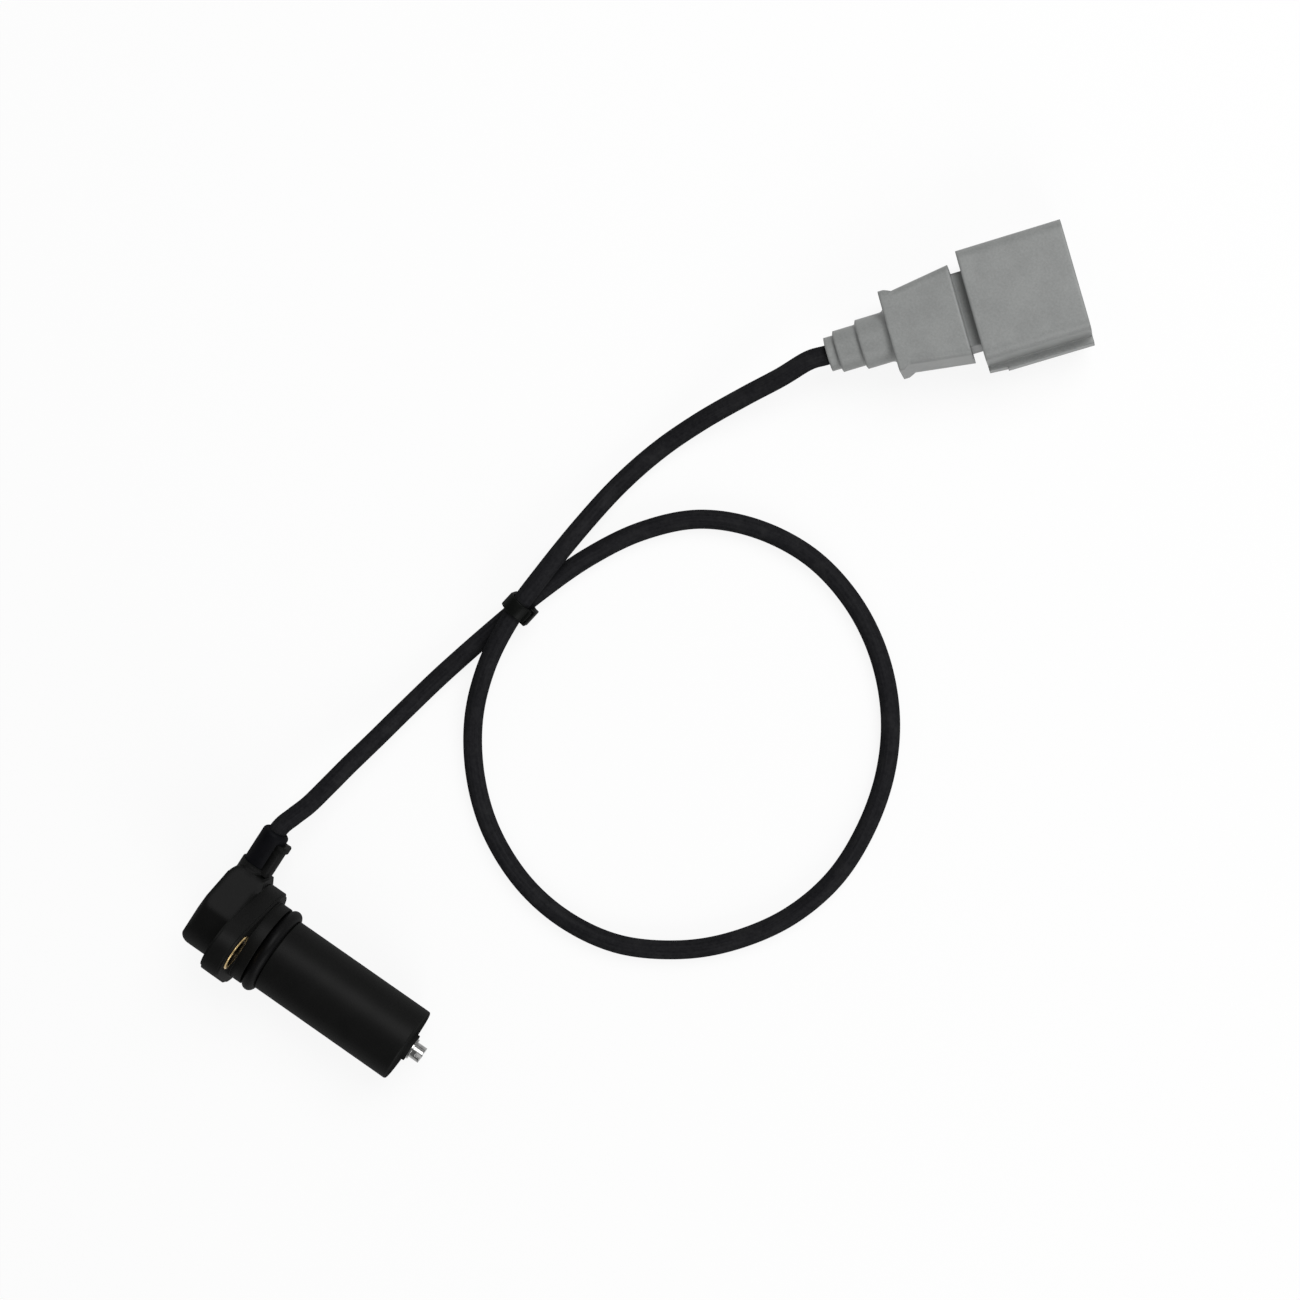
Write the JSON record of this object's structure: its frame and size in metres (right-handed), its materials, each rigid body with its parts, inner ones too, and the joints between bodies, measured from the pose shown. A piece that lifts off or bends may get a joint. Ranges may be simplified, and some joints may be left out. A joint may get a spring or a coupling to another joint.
{
  "type": "crankshaft position sensor",
  "caption": "Cylindrical inductive speed sensor with a flanged ear, sealing ring and forked pole pin, on a cable tied in a loop that ends in a flat grey connector",
  "frame": {"origin": "on the barrel's axis at the flange's seating face", "axes": "+X along the barrel to its nose, +Y to the cable exit, +Z to the mounting ear"},
  "size_m": [0.1174, 0.2455, 0.0329],
  "materials": {
    "black_plastic": "satin",
    "brass": "satin",
    "ring_rubber": "matte",
    "pole_steel": "satin",
    "magnet": "matte",
    "bobbin_plastic": "matte",
    "copper": "satin",
    "grommet_rubber": "matte",
    "cable_jacket": "satin",
    "tie_nylon": "satin",
    "grey_plastic": "satin",
    "seal_rubber": "matte",
    "contact_metal": "satin",
    "core_red": "satin",
    "core_blue": "satin",
    "core_screen": "satin"
  },
  "bodies": {
    "root": {"sensor_housing": "black_plastic", "mounting_bush": "brass", "o_ring": "ring_rubber", "pole_pin": "pole_steel", "pole_magnet": "magnet", "coil_bobbin": "bobbin_plastic", "coil_winding": "copper", "coil_terminal_1": "brass", "coil_terminal_2": "brass", "cable_grommet": "grommet_rubber", "cable": "cable_jacket", "cable_tie": "tie_nylon", "connector_housing": "grey_plastic", "cable_seal_ring": "seal_rubber", "contact_pin_1": "contact_metal", "contact_pin_2": "contact_metal", "contact_pin_3": "contact_metal", "core_1": "core_red", "core_2": "core_blue", "core_3": "core_screen"}
  },
  "joints": []
}
